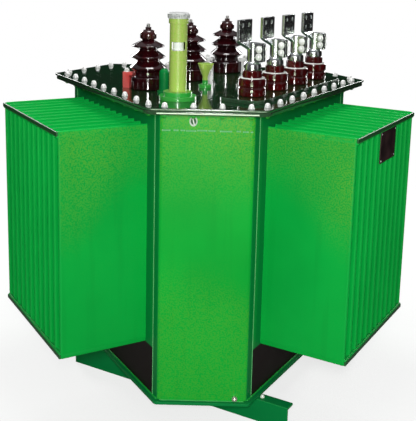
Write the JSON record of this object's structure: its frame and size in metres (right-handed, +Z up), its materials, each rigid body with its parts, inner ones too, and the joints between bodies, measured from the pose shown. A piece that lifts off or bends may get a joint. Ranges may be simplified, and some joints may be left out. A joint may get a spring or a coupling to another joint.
{
  "type": "wound core distribution transformer",
  "caption": "Oil-filled three-phase distribution transformer with a three-sided finned tank, bolted lid, porcelain bushings, filler pipe and channel feet.",
  "frame": {"origin": "on the ground below the middle of the bounding box", "axes": "+X out of the low voltage long face, +Y along that face, +Z up"},
  "size_m": [1.275, 1.4722, 1.356],
  "materials": {
    "tank_green": "gloss green enamel",
    "fin_green": "gloss green enamel",
    "bar_dark": "dark green enamel",
    "filling": "amber oil, sealed in",
    "gasket": "matt black",
    "lid_green": "gloss dark green enamel",
    "lv_porcelain": "gloss brown glaze",
    "terminal_metal": "tinned, satin",
    "hv_porcelain": "gloss brown glaze",
    "hv_cap": "gloss brown enamel",
    "clamp_red": "red enamel",
    "clamp_zinc": "zinc plated",
    "filler_green": "gloss light green enamel",
    "sight_glass": "white, clear",
    "filler_cap": "satin",
    "plate_dark": "dark, satin",
    "plug_white": "white",
    "earth_metal": "zinc plated"
  },
  "bodies": {
    "root": {"base_channel_near": "tank_green", "base_channel_far": "tank_green", "base_plate": "tank_green", "corner_wall_front": "tank_green", "corner_wall_right": "tank_green", "corner_wall_left": "tank_green", "thermometer_pocket": "tank_green", "fin_wall_lv": "fin_green", "fin_wall_left": "fin_green", "fin_wall_back": "fin_green", "fin_bar_lv_top": "bar_dark", "fin_bar_lv_low": "bar_dark", "fin_bar_left_top": "bar_dark", "fin_bar_left_low": "bar_dark", "fin_bar_back_top": "bar_dark", "fin_bar_back_low": "bar_dark", "tank_filling": "filling", "lid_gasket": "gasket", "tank_rim": "lid_green", "lid_plate": "lid_green", "lv_pad": "lid_green", "lv_bushing_1": "lv_porcelain", "lv_bushing_2": "lv_porcelain", "lv_bushing_3": "lv_porcelain", "lv_bushing_4": "lv_porcelain", "lv_terminal_1": "terminal_metal", "lv_terminal_2": "terminal_metal", "lv_terminal_3": "terminal_metal", "lv_terminal_4": "terminal_metal", "hv_bushing_1": "hv_porcelain", "hv_bushing_2": "hv_porcelain", "hv_bushing_3": "hv_porcelain", "hv_cap_1": "hv_cap", "hv_cap_2": "hv_cap", "hv_cap_3": "hv_cap", "hv_clamp_1": "clamp_red", "hv_clamp_2": "clamp_zinc", "hv_clamp_3": "clamp_zinc", "filler_pipe": "filler_green", "tap_changer": "filler_green", "filler_sight_glass": "sight_glass", "filler_cap": "filler_cap", "rating_plate": "plate_dark", "front_plug": "plug_white", "earth_terminal": "earth_metal"}
  },
  "joints": []
}
